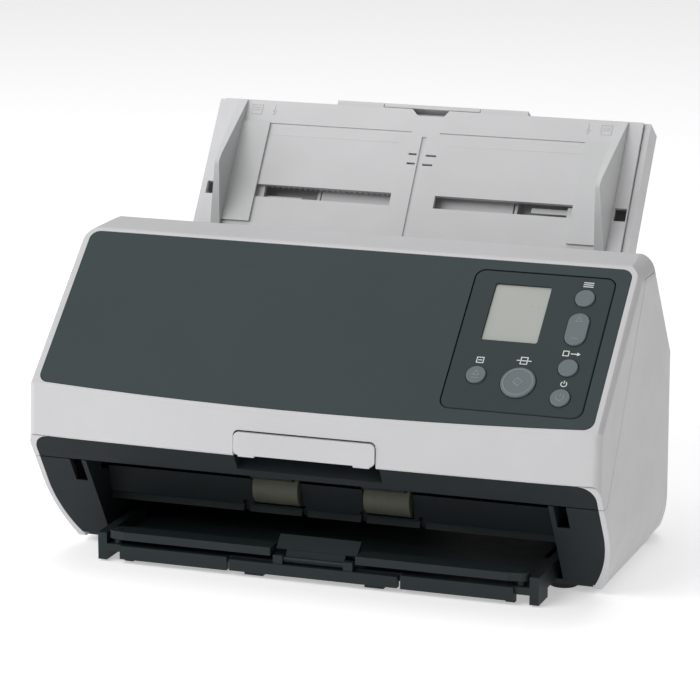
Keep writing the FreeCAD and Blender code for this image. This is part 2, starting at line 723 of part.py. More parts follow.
def upper_centres():
    return {
        "exit": on_path(EXIT_AT, IDLER_RADIUS + GAP), "feed": on_path(FEED_AT, IDLER_RADIUS + GAP),
        "brake": on_path(PICK_AT, BRAKE_RADIUS + GAP)}


def make_inner_frame():
    """Two end plates, cross ribs and a back wall that carry the upper parts."""
    profile = [
        on_path(4, 3.6), on_path(110.5, 3.6), (112.4, 131), (103.4, 149), (99.5, 154.5), (74.8, 152.8),
        (4, 89.2), (2.2, 70), (10, 58.2), (24.2, 58.2), (26.8, 46.6), on_path(-1.0, 1.4)]
    solid = side_prism(profile, -130.5, 130.5)
    ends = solid.cut(side_prism(profile, -128, 128))
    back = [on_path(110.5, 3.6), (112.4, 131), (103.4, 149), (101, 148), (110, 130.4), on_path(107.9, 3.6)]
    wall = side_prism(back, -128, 128)
    brake = upper_centres()["brake"]
    wall = cut(wall, [rod(a - 1, b + 1, brake, BRAKE_RADIUS + 0.8) for a, b in BRAKE_SPANS])
    arm = [
        (93, 143), (95, 153), (101.5, 153.6), (104.6, 150.2), (106.5, 143), (108, 130),
        (98, 122), (88, 130)]
    arms = side_pair(arm, 127, 131.2)
    ribs = [side_prism([on_path(20, 12), on_path(23, 12), on_path(23, 50), on_path(20, 50)], -128, 128)]
    ribs.append(side_prism([on_path(82, 12), on_path(85, 12), on_path(85, 48), on_path(82, 48)], -128, 128))
    frame = fuse(ends, wall, arms, ribs)
    frame = frame.cut(rod(-132, 132, HINGE, HINGE_RADIUS + BORE_PLAY))
    for centre in upper_centres().values():
        frame = frame.cut(rod(-132, 132, centre, SHAFT_RADIUS + BORE_PLAY))
    return frame


def make_hinge_pins():
    pin = rod(126.5, FRAME_OUT, HINGE, HINGE_RADIUS)
    head = rod(FRAME_OUT, FRAME_OUT + 1.8, HINGE, 4.2)
    one = fuse(pin, head)
    return group([one, mirrored(one)])


def make_idlers(centre, spans, radius):
    shaft = rod(-130, 130, centre, SHAFT_RADIUS)
    wheels = [rod(a + 1, b - 1, centre, radius) for a, b in spans]
    return fuse(shaft, wheels)


# ---- release handle -----------------------------------------------------
def make_release_handle():
    """Flush finger plate with two short tabs, hung on its pin."""
    front = CHIN_BOTTOM[0] - CHIN_BOW - 0.6
    lean = 0.8
    face = [
        (front, HANDLE_LOW), (front + lean, HANDLE_HIGH),
        (front + lean + 2.2, HANDLE_HIGH), (front + 2.2, HANDLE_LOW)]
    plate = side_prism(face, -HANDLE_HALF, HANDLE_HALF)
    rounded = [
        (-HANDLE_HALF, HANDLE_LOW), (HANDLE_HALF, HANDLE_LOW),
        (HANDLE_HALF, HANDLE_HIGH), (-HANDLE_HALF, HANDLE_HIGH)]
    plate = plate.common(front_prism(rounded, -20, 20, [2.6] * 4))
    tabs = both_sides(26.0, 34.4, front + 0.1, front + 2.2, HANDLE_LOW - 0.9, HANDLE_LOW + 1)
    lip = box(-33, 33, front + 1.0, 4.0, HANDLE_LOW, HANDLE_LOW + 1.8)
    barrels = [rod(-36, -12, HANDLE_PIVOT, 1.7), rod(12, 36, HANDLE_PIVOT, 1.7)]
    handle = fuse(plate, tabs, lip, barrels)
    return handle.cut(rod(-40, 40, HANDLE_PIVOT, HANDLE_PIN_RADIUS + BORE_PLAY))


def make_handle_pin():
    return rod(-42, 42, HANDLE_PIVOT, HANDLE_PIN_RADIUS)


# ---- paper chute --------------------------------------------------------
def make_chute_plate():
    top_half = CHUTE_HALF - 3.6
    plate = chute_slab(-top_half, top_half, -CHUTE_LENGTH, 0, -0.5, CHUTE_FACE)
    slots = both_sides_chute(12.2, 103.6, SLOT_LOW, SLOT_HIGH, -3, 5)
    side_holes = both_sides_chute(110.6, 117.0, SLOT_LOW, SLOT_HIGH, -3, 5)
    notch = chute_plate_shape([(-6.4, -3.6), (8.2, -3.6), (11.0, 0.5), (-10.6, 0.5)], -3, 5)
    lines = [chute_slab(8, 97, -13.9, -13.2, 1.3, 5), chute_slab(-104, -8, -13.9, -13.2, 1.3, 5)]
    clips = [chute_slab(x0, x1, s, s + 1.1, -3, 5) for x0, x1, s in (
        (-7.2, -2.6, -26.9), (2.6, 8.4, -27.3), (-7.2, -2.6, -32.4), (1.6, 7.2, -32.7))]
    rib = chute_slab(-1.6, 1.0, -CHUTE_LENGTH - 1, -16, 1.1, 5)
    plate = cut(plate, slots, side_holes, notch, lines, clips, rib)
    axle = chute_rod(-4.4, -0.4, 2.0)
    return fuse(plate, axle)


def make_chute_frame():
    outer = chute_slab(-CHUTE_HALF, CHUTE_HALF, -CHUTE_LENGTH, 0.4, -CHUTE_DEPTH, 0.0)
    hollow = chute_slab(-CHUTE_HALF + 3.2, CHUTE_HALF - 3.2, -CHUTE_LENGTH + 2, 5, -CHUTE_DEPTH + 2, 5)
    rails = both_sides_chute(54.4, 56.0, -CHUTE_LENGTH + 1, 0.4, -CHUTE_DEPTH + 1.5, -6.2)
    inner_rails = both_sides_chute(27.4, 28.8, -CHUTE_LENGTH + 1, 0.4, -CHUTE_DEPTH + 1.5, -9.3)
    tops = both_sides_chute(56.0, CHUTE_HALF - 3, -1.6, 0.4, -CHUTE_DEPTH + 1, -0.5)
    frame = fuse(outer.cut(hollow), rails, inner_rails, tops)
    frame = frame.cut(chute_slab(-117.4, 117.4, -CHUTE_LENGTH, 1, -0.5, 3))
    bottom = -CHUTE_LENGTH + 0.5
    foot = [on_chute(bottom, -CHUTE_DEPTH), on_chute(bottom, -2), (131.6, 119), (131.6, 98), (143, 98)]
    legs = [side_prism(foot, 84, 108), side_prism(foot, -108, -84)]
    return fuse(frame, legs)


def guide_wall():
    """Side guide's fence: low at the top, full height over its front edge."""
    fence = [
        on_chute(-74, CHUTE_FACE + 0.3), on_chute(-1.4, CHUTE_FACE + 0.3), (189.9, 210.4), (150.2, 187.6),
        (146.3, 184.6), (145.9, 150.0)]
    wall = side_prism(fence, 100, 112, [0, 0, 0, 8, 5, 0])
    lean = [(GUIDE_INNER, 2), (GUIDE_OUTER, 2), (105.9, 27), (GUIDE_INNER, 27)]
    face = outline([chute_vector(x, -90, d) for x, d in lean])
    return wall.common(face.extrude(chute_vector(0, 20, 0) - chute_vector(0, -90, 0)))


def make_guide_body(arm_low, arm_high):
    """Fence, foot flange, post through the slot, and the arm behind the plate."""
    flange = chute_slab(FLANGE_INNER, GUIDE_INNER + 0.5, -72, -13.4, CHUTE_FACE + 0.3, CHUTE_FACE + 1.5)
    post = chute_slab(93, 102.5, SLOT_LOW + 0.5, SLOT_HIGH - 0.5, -5.6, CHUTE_FACE + 0.4)
    arm = chute_slab(ARM_TIP, 102.5, arm_low, arm_high, -5.6, -4.4)
    return fuse(guide_wall(), flange, post, arm)


def make_side_guide(arm_low, arm_high, rack_side):
    """Drawn on the right; the left one is this mirrored, its arm clear of the other."""
    return make_guide_body(arm_low, arm_high).fuse(make_rack(rack_side)).removeSplitter()


def make_rack(sign):
    """Toothed bar on the hidden side of the chute plate, beside the pinion."""
    s_pitch = PINION_S + sign * PINION_PITCH
    near = s_pitch + sign * 0.9
    far = s_pitch + sign * 5.2
    low, high = sorted((near, far))
    bar = chute_slab(-12, 88, low, high, -4.0, -0.9)
    teeth = []
    for i in range(-3, 28):
        x = TOOTH_PITCH * i
        base = s_pitch + sign * 1.0
        tip = s_pitch - sign * 0.7
        points = [(x - 1.1, base), (x + 1.1, base), (x + 0.45, tip), (x - 0.45, tip)]
        teeth.append(chute_plate_shape(points, -4.0, -0.9))
    link = chute_slab(84.6, 102.5, min(low, SLOT_LOW + 0.5), max(high, SLOT_HIGH - 0.5), -4.0, -0.9)
    return fuse(bar, teeth, link)


def make_pinion():
    shapes = [chute_rod(-3.95, -0.95, PINION_PITCH - 1.15)]
    for i in range(PINION_TEETH):
        turn = 2 * math.pi * (i + 0.5) / PINION_TEETH
        points = []
        for radius, half in ((PINION_PITCH - 1.4, 0.95), (PINION_PITCH + 0.65, 0.4)):
            for side in ((-1, 1) if radius < PINION_PITCH else (1, -1)):
                x = radius * math.sin(turn) + side * half * math.cos(turn)
                s = radius * math.cos(turn) - side * half * math.sin(turn)
                points.append((x, PINION_S + s))
        shapes.append(chute_plate_shape(points, -3.95, -0.95))
    gear = fuse(shapes)
    return gear.cut(chute_rod(-6, 0, 2.0 + BORE_PLAY))


def make_outer_extension():
    plate = chute_slab(-53.6, 53.6, -72, 1.0, -8.4, -6.0)
    lips = [chute_slab(27.2, 53.6, 0.8, 3.4, -9.0, 0.2), chute_slab(-53.6, -27.2, 0.8, 3.4, -9.0, 0.2)]
    return fuse(plate, lips)


def make_inner_extension():
    plate = chute_slab(-26.8, 26.8, -70, 1.0, -12.4, -9.8)
    lip = chute_slab(-26.8, 26.8, 1.2, 3.4, -12.4, 0.2)
    return fuse(plate, lip, chute_slab(-26.8, 26.8, 0.6, 1.4, -12.4, -9.8))


# ---- stacker ------------------------------------------------------------
def make_stacker_tray():
    slab = box(-TRAY_HALF, TRAY_HALF, 9.0, 112.0, 5.8, 9.6)
    lip = box(-TRAY_HALF, TRAY_HALF, 6.6, 10.0, 2.6, 9.6)
    feet = [box(x - 2.4, x + 2.4, 11.6, 14.6, 0.4, 5.8) for x in (-101.6, 101.6)]
    gap = [box(-46.2, 46.2, 0, 108.0, 0, 8.2), box(-46.2, 46.2, 0, 10.4, 0, 20)]
    rails = both_sides(112.4, 117.2, 8.4, 24.0, 1.0, 15.2) + both_sides(112.4, 117.2, 23.0, 60.0, 5.8, 15.2)
    ties = both_sides(TRAY_HALF - 1, 113.0, 20.0, 60.0, 5.8, 9.6)
    pivot = rod_z(*GUIDE_PIVOT, 9.4, 17.4, GUIDE_PIN_RADIUS)
    pivots = [pivot, mirrored(pivot)]
    ears = both_sides(TRAY_HALF - 1, 112.6, 8.4, 20.2, 5.8, 9.6)
    return fuse(cut(fuse(slab, lip), gap), feet, rails, ties, ears, pivots)


def rod_z(x, y, z0, z1, radius):
    return Part.makeCylinder(radius, z1 - z0, V(x, y, z0), V(0, 0, 1))


def make_stacker_extension():
    plate = box(-45.0, 45.0, 9.6, 106.0, 5.8, 7.9)
    lip = box(-44.6, 44.6, 6.1, 9.8, 3.0, 8.8)
    pads = [box(x - 5, x + 5, 8, 12, 1.2, 5.2) for x in (-32, 32)]
    knuckles = [box(x - 2.5, x + 2.5, 6.6, 10.4, 8.6, 13.4) for x in (-18.6, 18.6)]
    pin = rod(-21, 21, STOP_PIVOT, STOP_PIN_RADIUS)
    return fuse(plate, lip, pads, knuckles, pin)


def make_end_stop():
    plate = side_prism([(7.4, 10.4), (10.2, 9.8), (20.6, 19.6), (19.2, 21.0)], -15.6, 15.6)
    wings = side_prism([(12.4, 15.2), (14.0, 13.6), (20.6, 19.6), (19.2, 21.0)], -21.6, 21.6)
    return fuse(plate, wings).cut(rod(-30, 30, STOP_PIVOT, STOP_PIN_RADIUS + BORE_PLAY))


def make_stacker_guide():
    x, y = GUIDE_PIVOT
    arm = box(22.6, 102.0, y - 5.4, y + 5.4, 12.8, 17.0)
    head = rod_z(x, y, 12.8, 17.0, 4.4)
    neck = plan_prism([(101.0, y - 5.4), (x, y - 4.4), (x, y + 4.4), (101.0, y + 5.4)], 12.8, 17.0)
    guide = fuse(arm, head, neck)
    return guide.cut(rod_z(x, y, 12, 20, GUIDE_PIN_RADIUS + BORE_PLAY))


# ---- inside, rear and fixings -------------------------------------------
def make_motor():
    can = rod(98, FRAME_IN, MOTOR_AT, 19.0)
    boss = rod(FRAME_IN, FRAME_OUT, MOTOR_AT, 5.8)
    return fuse(can, boss)


def make_motor_pulley():
    return fuse(rod(FRAME_OUT + 0.3, 137.4, MOTOR_AT, 2.5), rod(137.2, 141, MOTOR_AT, PULLEY_RADIUS))


def make_main_board():
    board = box(-118, 60, 116, 147, 12, 13.6)
    chips = [
        box(-48, -28, 120, 140, 13.6, 15.4), box(-16, -4, 124, 134, 13.6, 15.0),
        box(14, 38, 120, 132, 13.6, 17.0)]
    posts = [box(x - 2.5, x + 2.5, y - 2.5, y + 2.5, 5.6, 12) for x in (-113, 55) for y in (119, 144)]
    return fuse(board, chips, posts)


def make_connectors():
    inlet = cut(box(-111.6, -88.4, 140, 160.2, 20.4, 33.6), rod_y(-100, 27, 146, 165, 5.0))
    pin = rod_y(-100, 27, 145, 158, 1.2)
    usb = cut(box(-75.6, -60.4, 140, 160.2, 20.4, 33.6), box(-73.4, -62.6, 146, 165, 22, 32))
    tongue = box(-71, -65, 145, 158, 26, 29)
    legs = [box(-106, -94, 142, 146, 13.6, 20.5), box(-72, -64, 142, 146, 13.6, 20.5)]
    return group([fuse(inlet, pin, legs[0]), fuse(usb, tongue, legs[1])])


def rod_y(x, z, y0, y1, radius):
    return Part.makeCylinder(radius, y1 - y0, V(x, y0, z), V(0, 1, 0))


def make_feet():
    return group([rod_z(x, y, 0, UNDERSIDE, 7.0) for x, y in FOOT_PLACES])


def make_screws():
    screws = []
    for x, y in SCREW_PLACES:
        screws.append(fuse(rod_z(x, y, 1.4, UNDERSIDE, 3.2), rod_z(x, y, UNDERSIDE, 5.4, 1.4)))
    return group(screws)


# ---- build and write ----------------------------------------------------
def build_base():
    side = make_side_cover()
    add("side_cover_right", side)
    add("side_cover_left", mirrored(side))
    add("rear_cover", make_rear_cover())
    add("hopper_cover", make_hopper_cover())
    plate = make_bottom_plate()
    for x, y in SCREW_PLACES:
        plate = plate.cut(rod_z(x, y, 0, 8, 1.4))
    add("bottom_plate", plate)
    add("exit_bezel", make_exit_bezel())
    add("side_frame_right", make_side_frame(FRAME_IN, FRAME_OUT, True))
    add("side_frame_left", make_side_frame(-FRAME_OUT, -FRAME_IN, False))
    add("lower_bearings", make_lower_bearings())
    add("lower_paper_guide", make_lower_guide())
    add("lower_sensor_unit", make_sensor_unit(28, 40, -1))
    add("lower_sensor_glass", make_sensor_glass(28, 40, -1))
    add("hinge_pins", make_hinge_pins())
    add("drive_motor", make_motor())
    add("motor_pulley", make_motor_pulley())
    add("drive_belt", make_belt())
    add("main_board", make_main_board())
    add("rear_connectors", make_connectors())
    add("rubber_feet", make_feet())
    add("base_screws", make_screws())


def build_rollers():
    lower = shaft_centres()
    upper = upper_centres()
    for name, spans, radius in (
            ("exit", EXIT_SPANS, EXIT_RADIUS), ("feed", FEED_SPANS, FEED_RADIUS),
            ("pick", PICK_SPANS, PICK_RADIUS)):
        add(name + "_shaft", make_driven_shaft(lower[name]))
        add(name + "_rollers", make_roller_set(lower[name], spans, radius))
    add("exit_idlers", make_idlers(upper["exit"], EXIT_SPANS, IDLER_RADIUS))
    add("feed_idlers", make_idlers(upper["feed"], FEED_SPANS, IDLER_RADIUS))
    add("brake_shaft", rod(-130, 130, upper["brake"], SHAFT_RADIUS))
    add("brake_rollers", make_roller_set(upper["brake"], BRAKE_SPANS, BRAKE_RADIUS))


def build_cover():
    add("adf_cover_shell", make_cover_shell())
    add("front_panel", make_front_panel())
    add("control_panel", make_control_panel())
    add("display_window", make_display_window())
    add("control_board", make_control_board())
    add("exit_hood", make_exit_hood())
    add("adf_inner_frame", make_inner_frame())
    add("upper_paper_guide", make_upper_guide())
    add("upper_sensor_unit", make_sensor_unit(45, 57, 1))
    add("upper_sensor_glass", make_sensor_glass(45, 57, 1))
    add("release_handle", make_release_handle())
    add("handle_pin", make_handle_pin())
    for name, place in BUTTONS.items():
        add(name, make_button(*place))


def build_chute():
    add("chute_frame", make_chute_frame())
    add("chute_plate", make_chute_plate())
    add("side_guide_right", make_side_guide(-53.0, SLOT_HIGH - 0.5, -1))
    add("side_guide_left", mirrored(make_side_guide(SLOT_LOW + 0.5, -53.4, 1)))
    add("guide_pinion", make_pinion())
    add("chute_extension_outer", make_outer_extension())
    add("chute_extension_inner", make_inner_extension())


def build_stacker():
    add("stacker_tray", make_stacker_tray())
    add("stacker_extension", make_stacker_extension())
    add("stacker_end_stop", make_end_stop())
    guide = make_stacker_guide()
    add("stacker_guide_right", guide)
    add("stacker_guide_left", mirrored(guide))


build_base()
build_rollers()
build_cover()
build_chute()
build_stacker()
for name, shape in NODES.items():
    shape.translate(V(0, -ORIGIN_Y, 0))
    shape.exportStep("parts/" + name + ".step")
    solids = len(shape.Solids)
    print(f"{name:26s} solids {solids:2d} valid {shape.isValid()} volume {shape.Volume / 1000:9.2f} cm3")
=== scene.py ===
import json
import math

import bpy
from mathutils import Matrix, Vector

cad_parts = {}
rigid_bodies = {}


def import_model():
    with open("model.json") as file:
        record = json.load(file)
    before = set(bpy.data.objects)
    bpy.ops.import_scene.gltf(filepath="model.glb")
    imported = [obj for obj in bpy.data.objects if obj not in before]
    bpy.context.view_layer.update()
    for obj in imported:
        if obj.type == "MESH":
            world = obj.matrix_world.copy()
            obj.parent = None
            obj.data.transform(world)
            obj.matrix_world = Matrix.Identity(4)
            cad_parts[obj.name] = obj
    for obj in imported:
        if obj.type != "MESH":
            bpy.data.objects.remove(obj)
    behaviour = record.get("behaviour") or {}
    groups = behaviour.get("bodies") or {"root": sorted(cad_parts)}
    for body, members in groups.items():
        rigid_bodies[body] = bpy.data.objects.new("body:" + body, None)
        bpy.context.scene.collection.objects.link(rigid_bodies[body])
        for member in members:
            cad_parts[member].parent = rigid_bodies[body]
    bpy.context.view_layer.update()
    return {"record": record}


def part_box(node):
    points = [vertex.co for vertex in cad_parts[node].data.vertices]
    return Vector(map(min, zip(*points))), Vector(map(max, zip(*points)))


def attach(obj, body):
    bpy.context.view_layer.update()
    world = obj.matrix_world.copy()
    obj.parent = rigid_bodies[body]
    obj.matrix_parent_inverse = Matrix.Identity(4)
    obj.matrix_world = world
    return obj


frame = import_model()

# ---- sizes: figures are drawn in millimetres, the scene is in metres ----------
MM = 0.001
PANEL_SLOPE = math.radians(41.8)
CHUTE_SLOPE = math.radians(54.9)

STROKE = 0.45
RELIEF_RISE = 0.14
RELIEF_SINK = 0.02
PRINT_RISE = 0.03
PRINT_SINK = 0.005
PICTURE_RISE = 7.0

CHUTE_SIGN_DROP = 8.4
CHUTE_RELIEF_RISE = 0.25
SIZE_LINE_DROP = 20.3
SIZE_LINE_RISE = 0.12

FINGER_REACH = 112
FINGER_STEP = 14
ROLLER_MIDDLE = 29.8
ROLLER_ROOM = 15


# ---- finishes -----------------------------------------------------------------
def new_group(name, own_input):
    """Empty texture group, which takes a colour, a roughness and one value of its own."""
    tree = bpy.data.node_groups.new(name, "ShaderNodeTree")
    for socket, kind in (("Colour", "Color"), ("Roughness", "Float"), (own_input, "Float")):
        tree.interface.new_socket(name=socket, in_out="INPUT", socket_type="NodeSocket" + kind)
    for socket, kind in (("Colour", "Color"), ("Roughness", "Float"), ("Height", "Float")):
        tree.interface.new_socket(name=socket, in_out="OUTPUT", socket_type="NodeSocket" + kind)
    return tree, tree.nodes.new("NodeGroupInput"), tree.nodes.new("NodeGroupOutput")


def feed(tree, value, socket):
    """Join a socket to an output, or give it a constant."""
    if isinstance(value, (int, float)):
        socket.default_value = value
    else:
        tree.links.new(value, socket)


def noise(tree, coords, scale, detail, roughness=0.5):
    node = tree.nodes.new("ShaderNodeTexNoise")
    node.inputs["Detail"].default_value = detail
    node.inputs["Roughness"].default_value = roughness
    feed(tree, scale, node.inputs["Scale"])
    feed(tree, coords, node.inputs["Vector"])
    return node.outputs["Fac"]


def remap(tree, value, low, high, to_low, to_high):
    node = tree.nodes.new("ShaderNodeMapRange")
    node.inputs["From Min"].default_value = low
    node.inputs["From Max"].default_value = high
    node.inputs["To Min"].default_value = to_low
    node.inputs["To Max"].default_value = to_high
    feed(tree, value, node.inputs["Value"])
    return node.outputs["Result"]


def math_node(tree, kind, first, second):
    node = tree.nodes.new("ShaderNodeMath")
    node.operation = kind
    feed(tree, first, node.inputs[0])
    feed(tree, second, node.inputs[1])
    return node.outputs[0]


def tinted(tree, colour, tone):
    """Colour multiplied by a tone that stays near 1."""
    node = tree.nodes.new("ShaderNodeMix")
    node.data_type = "RGBA"
    node.blend_type = "MULTIPLY"
    node.inputs["Factor"].default_value = 1.0
    feed(tree, colour, node.inputs["A"])
    feed(tree, tone, node.inputs["B"])
    return node.outputs["Result"]


def moulded_group():
    """Spark-eroded mould texture with a slow drift of tone over the part."""
    tree, given, out = new_group("moulded_texture", "Drift")
    coords = tree.nodes.new("ShaderNodeTexCoord").outputs["Object"]
    fine = noise(tree, coords, 1500, 3)
    broad = noise(tree, coords, 14, 2)
    grime = noise(tree, coords, 60, 4, 0.6)
    tone = remap(tree, broad, 0.3, 0.7, -1, 1)
    tone = math_node(tree, "MULTIPLY", tone, given.outputs["Drift"])
    speck = remap(tree, grime, 0.35, 0.75, 0.35, -0.35)
    speck = math_node(tree, "MULTIPLY", speck, given.outputs["Drift"])
    tone = math_node(tree, "ADD", tone, speck)
    tone = math_node(tree, "ADD", tone, 1.0)
    feed(tree, tinted(tree, given.outputs["Colour"], tone), out.inputs["Colour"])
    rough = remap(tree, grime, 0.3, 0.7, -0.035, 0.05)
    rough = math_node(tree, "ADD", rough, given.outputs["Roughness"])
    feed(tree, rough, out.inputs["Roughness"])
    feed(tree, fine, out.inputs["Height"])
    return tree


def turned_group():
    """Fine rings round X, as turning or grinding leaves them."""
    tree, given, out = new_group("turned_marks", "Pitch")
    coords = tree.nodes.new("ShaderNodeTexCoord").outputs["Object"]
    stretch = tree.nodes.new("ShaderNodeMapping")
    stretch.inputs["Scale"].default_value = (1, 0.03, 0.03)
    feed(tree, coords, stretch.inputs["Vector"])
    lines = noise(tree, stretch.outputs["Vector"], given.outputs["Pitch"], 2)
    tone = remap(tree, lines, 0.3, 0.7, 0.86, 1.08)
    feed(tree, tinted(tree, given.outputs["Colour"], tone), out.inputs["Colour"])
    rough = remap(tree, lines, 0.3, 0.7, -0.06, 0.08)
    rough = math_node(tree, "ADD", rough, given.outputs["Roughness"])
    feed(tree, rough, out.inputs["Roughness"])
    feed(tree, lines, out.inputs["Height"])
    return tree


MOULDED = moulded_group()
TURNED = turned_group()


def material(name, group, settings, bump, bump_depth, **values):
    """Principled shader fed by one of the shared texture groups."""
    made = bpy.data.materials.new(name)
    made.use_nodes = True
    tree = made.node_tree
    shader = tree.nodes["Principled BSDF"]
    texture = tree.nodes.new("ShaderNodeGroup")
    texture.node_tree = group
    for socket, value in settings.items():
        texture.inputs[socket].default_value = value
    relief = tree.nodes.new("ShaderNodeBump")
    relief.inputs["Strength"].default_value = bump
    relief.inputs["Distance"].default_value = bump_depth
    feed(tree, texture.outputs["Colour"], shader.inputs["Base Color"])
    feed(tree, texture.outputs["Roughness"], shader.inputs["Roughness"])
    feed(tree, texture.outputs["Height"], relief.inputs["Height"])
    feed(tree, relief.outputs["Normal"], shader.inputs["Normal"])
    for socket, value in values.items():
        shader.inputs[socket.replace("_", " ")].default_value = value
    return made


def moulded(name, colour, roughness, grain=0.25, drift=0.03, **values):
    settings = {"Colour": (*colour, 1), "Roughness": roughness, "Drift": drift}
    return material(name, MOULDED, settings, grain, 0.00012, **values)


def turned(name, colour, roughness, pitch, metal):
    settings = {"Colour": (*colour, 1), "Roughness": roughness, "Pitch": pitch}
    return material(name, TURNED, settings, 0.12, 0.0001, Metallic=metal)


def sensor_glass():
    made = bpy.data.materials.new("sensor_glass")
    made.use_nodes = True
    shader = made.node_tree.nodes["Principled BSDF"]
    shader.inputs["Base Color"].default_value = (0.82, 0.88, 0.86, 1)
    shader.inputs["Roughness"].default_value = 0.03
    shader.inputs["Transmission Weight"].default_value = 1.0
    shader.inputs["IOR"].default_value = 1.5
    return made


FINISH = {
    "shell_white": moulded("shell_white", (0.57, 0.57, 0.58), 0.46, Specular_IOR_Level=0.4),
    "chute_white": moulded("chute_white", (0.62, 0.62, 0.63), 0.5, Specular_IOR_Level=0.4),
    "guide_grey": moulded("guide_grey", (0.6, 0.605, 0.61), 0.48, Specular_IOR_Level=0.4),
    "panel_dark": moulded(
        "panel_dark", (0.036, 0.051, 0.054), 0.5, grain=0.12, Specular_IOR_Level=0.22),
    "control_dark": moulded(
        "control_dark", (0.03, 0.042, 0.045), 0.42, grain=0.06, Specular_IOR_Level=0.22),
    "display": moulded(
        "display", (0.4, 0.42, 0.385), 0.3, grain=0.0, drift=0.02,
        Coat_Weight=0.6, Coat_Roughness=0.08),
    "key_grey": moulded("key_grey", (0.12, 0.145, 0.155), 0.42, grain=0.1),
    "base_dark": moulded("base_dark", (0.01, 0.015, 0.017), 0.55, Specular_IOR_Level=0.18),
    "stacker_dark": moulded("stacker_dark", (0.015, 0.022, 0.024), 0.5, Specular_IOR_Level=0.25),
    "inner_dark": moulded("inner_dark", (0.014, 0.018, 0.02), 0.5),
    "frame_steel": moulded(
        "frame_steel", (0.5, 0.51, 0.52), 0.38, grain=0.05, drift=0.08, Metallic=1.0),
    "shaft_steel": turned("shaft_steel", (0.56, 0.56, 0.56), 0.24, 1200, 1.0),
    "motor_steel": turned("motor_steel", (0.4, 0.41, 0.42), 0.35, 500, 1.0),
    "bearing_plastic": moulded("bearing_plastic", (0.62, 0.61, 0.54), 0.42, grain=0.05),
    "belt_rubber": moulded("belt_rubber", (0.015, 0.015, 0.015), 0.75),
    "roller_rubber": turned("roller_rubber", (0.08, 0.088, 0.062), 0.62, 420, 0.0),
    "idler_plastic": turned("idler_plastic", (0.03, 0.03, 0.032), 0.4, 600, 0.0),
    "sensor_body": moulded("sensor_body", (0.02, 0.02, 0.022), 0.5),
    "circuit_board": moulded("circuit_board", (0.012, 0.1, 0.045), 0.3, grain=0.05, drift=0.15),
    "connector_black": moulded("connector_black", (0.015, 0.015, 0.016), 0.4),
    "foot_rubber": moulded("foot_rubber", (0.02, 0.02, 0.02), 0.8),
    "key_relief": moulded("key_relief", (0.21, 0.23, 0.245), 0.4, grain=0.05),
    "finger_grey": moulded("finger_grey", (0.3, 0.31, 0.31), 0.4, grain=0.05),
    "print_white": moulded("print_white", (0.72, 0.74, 0.74), 0.5, grain=0.0, drift=0.02),
    "sensor_glass": sensor_glass(),
}

for part in frame["record"]["subparts"]:
    node = bpy.data.objects[part["node"]]
    if not node.material_slots:
        node.data.materials.append(None)
    for slot in node.material_slots:
        slot.material = FINISH[part["material_slot"]]


# ---- modelling helpers --------------------------------------------------------
def deselect():
    if bpy.context.object and bpy.context.object.mode != "OBJECT":
        bpy.ops.object.mode_set(mode="OBJECT")
    bpy.ops.object.select_all(action="DESELECT")


def make_active(piece):
    deselect()
    piece.select_set(True)
    bpy.context.view_layer.objects.active = piece


def edit_all(piece):
    make_active(piece)
    bpy.ops.object.mode_set(mode="EDIT")
    bpy.ops.mesh.select_all(action="SELECT")


def select_faces(piece, wanted):
    """Leave the piece in edit mode with only the faces selected whose middle is wanted."""
    edit_all(piece)
    bpy.ops.mesh.select_mode(type="FACE")
    bpy.ops.mesh.select_all(action="DESELECT")
    bpy.ops.object.mode_set(mode="OBJECT")
    for face in piece.data.polygons:
        face.select = wanted(face.center)
    bpy.ops.object.mode_set(mode="EDIT")


def apply_place(piece):
    make_active(piece)
    bpy.ops.object.transform_apply(location=True, rotation=True, scale=True)


def join_all(name, pieces):
    make_active(pieces[0])
    for piece in pieces:
        piece.select_set(True)
    if len(pieces) > 1:
        bpy.ops.object.join()
    joined = bpy.context.object
    joined.name = name
    joined.data.name = name
    apply_place(joined)
    return joined


def disc(x, y, radius, sides=40, turn=0.0):
    """Flat filled outline round (x, y); with 3 sides, a triangle that points up at no turn."""
    deselect()
    bpy.ops.mesh.primitive_circle_add(
        vertices=sides, radius=radius * MM, fill_type="NGON", location=(x * MM, y * MM, 0),
        rotation=(0, 0, turn))
    apply_place(bpy.context.object)
    return bpy.context.object


def bar(x0, x1, y0, y1, turn=0.0):
    """Flat filled strip between two corners, turned about its middle."""
    deselect()
    bpy.ops.mesh.primitive_plane_add(
        size=MM, location=((x0 + x1) / 2 * MM, (y0 + y1) / 2 * MM, 0), rotation=(0, 0, turn))
    bpy.context.object.scale = (x1 - x0, y1 - y0, 1)
    apply_place(bpy.context.object)
    return bpy.context.object


def hollowed(piece, width=STROKE):
    """Keep only a band of the given width along the outline."""
    edit_all(piece)
    bpy.ops.mesh.inset(thickness=width * MM)
    bpy.ops.mesh.delete(type="FACE")
    bpy.ops.object.mode_set(mode="OBJECT")
    return piece


def opened_above(piece, height, half_gap):
    """Take out the part of a band above height and within half_gap of its middle."""
    select_faces(piece, lambda middle: middle.y > height * MM and abs(middle.x) < half_gap * MM)
    bpy.ops.mesh.delete(type="FACE")
    bpy.ops.object.mode_set(mode="OBJECT")
    return piece


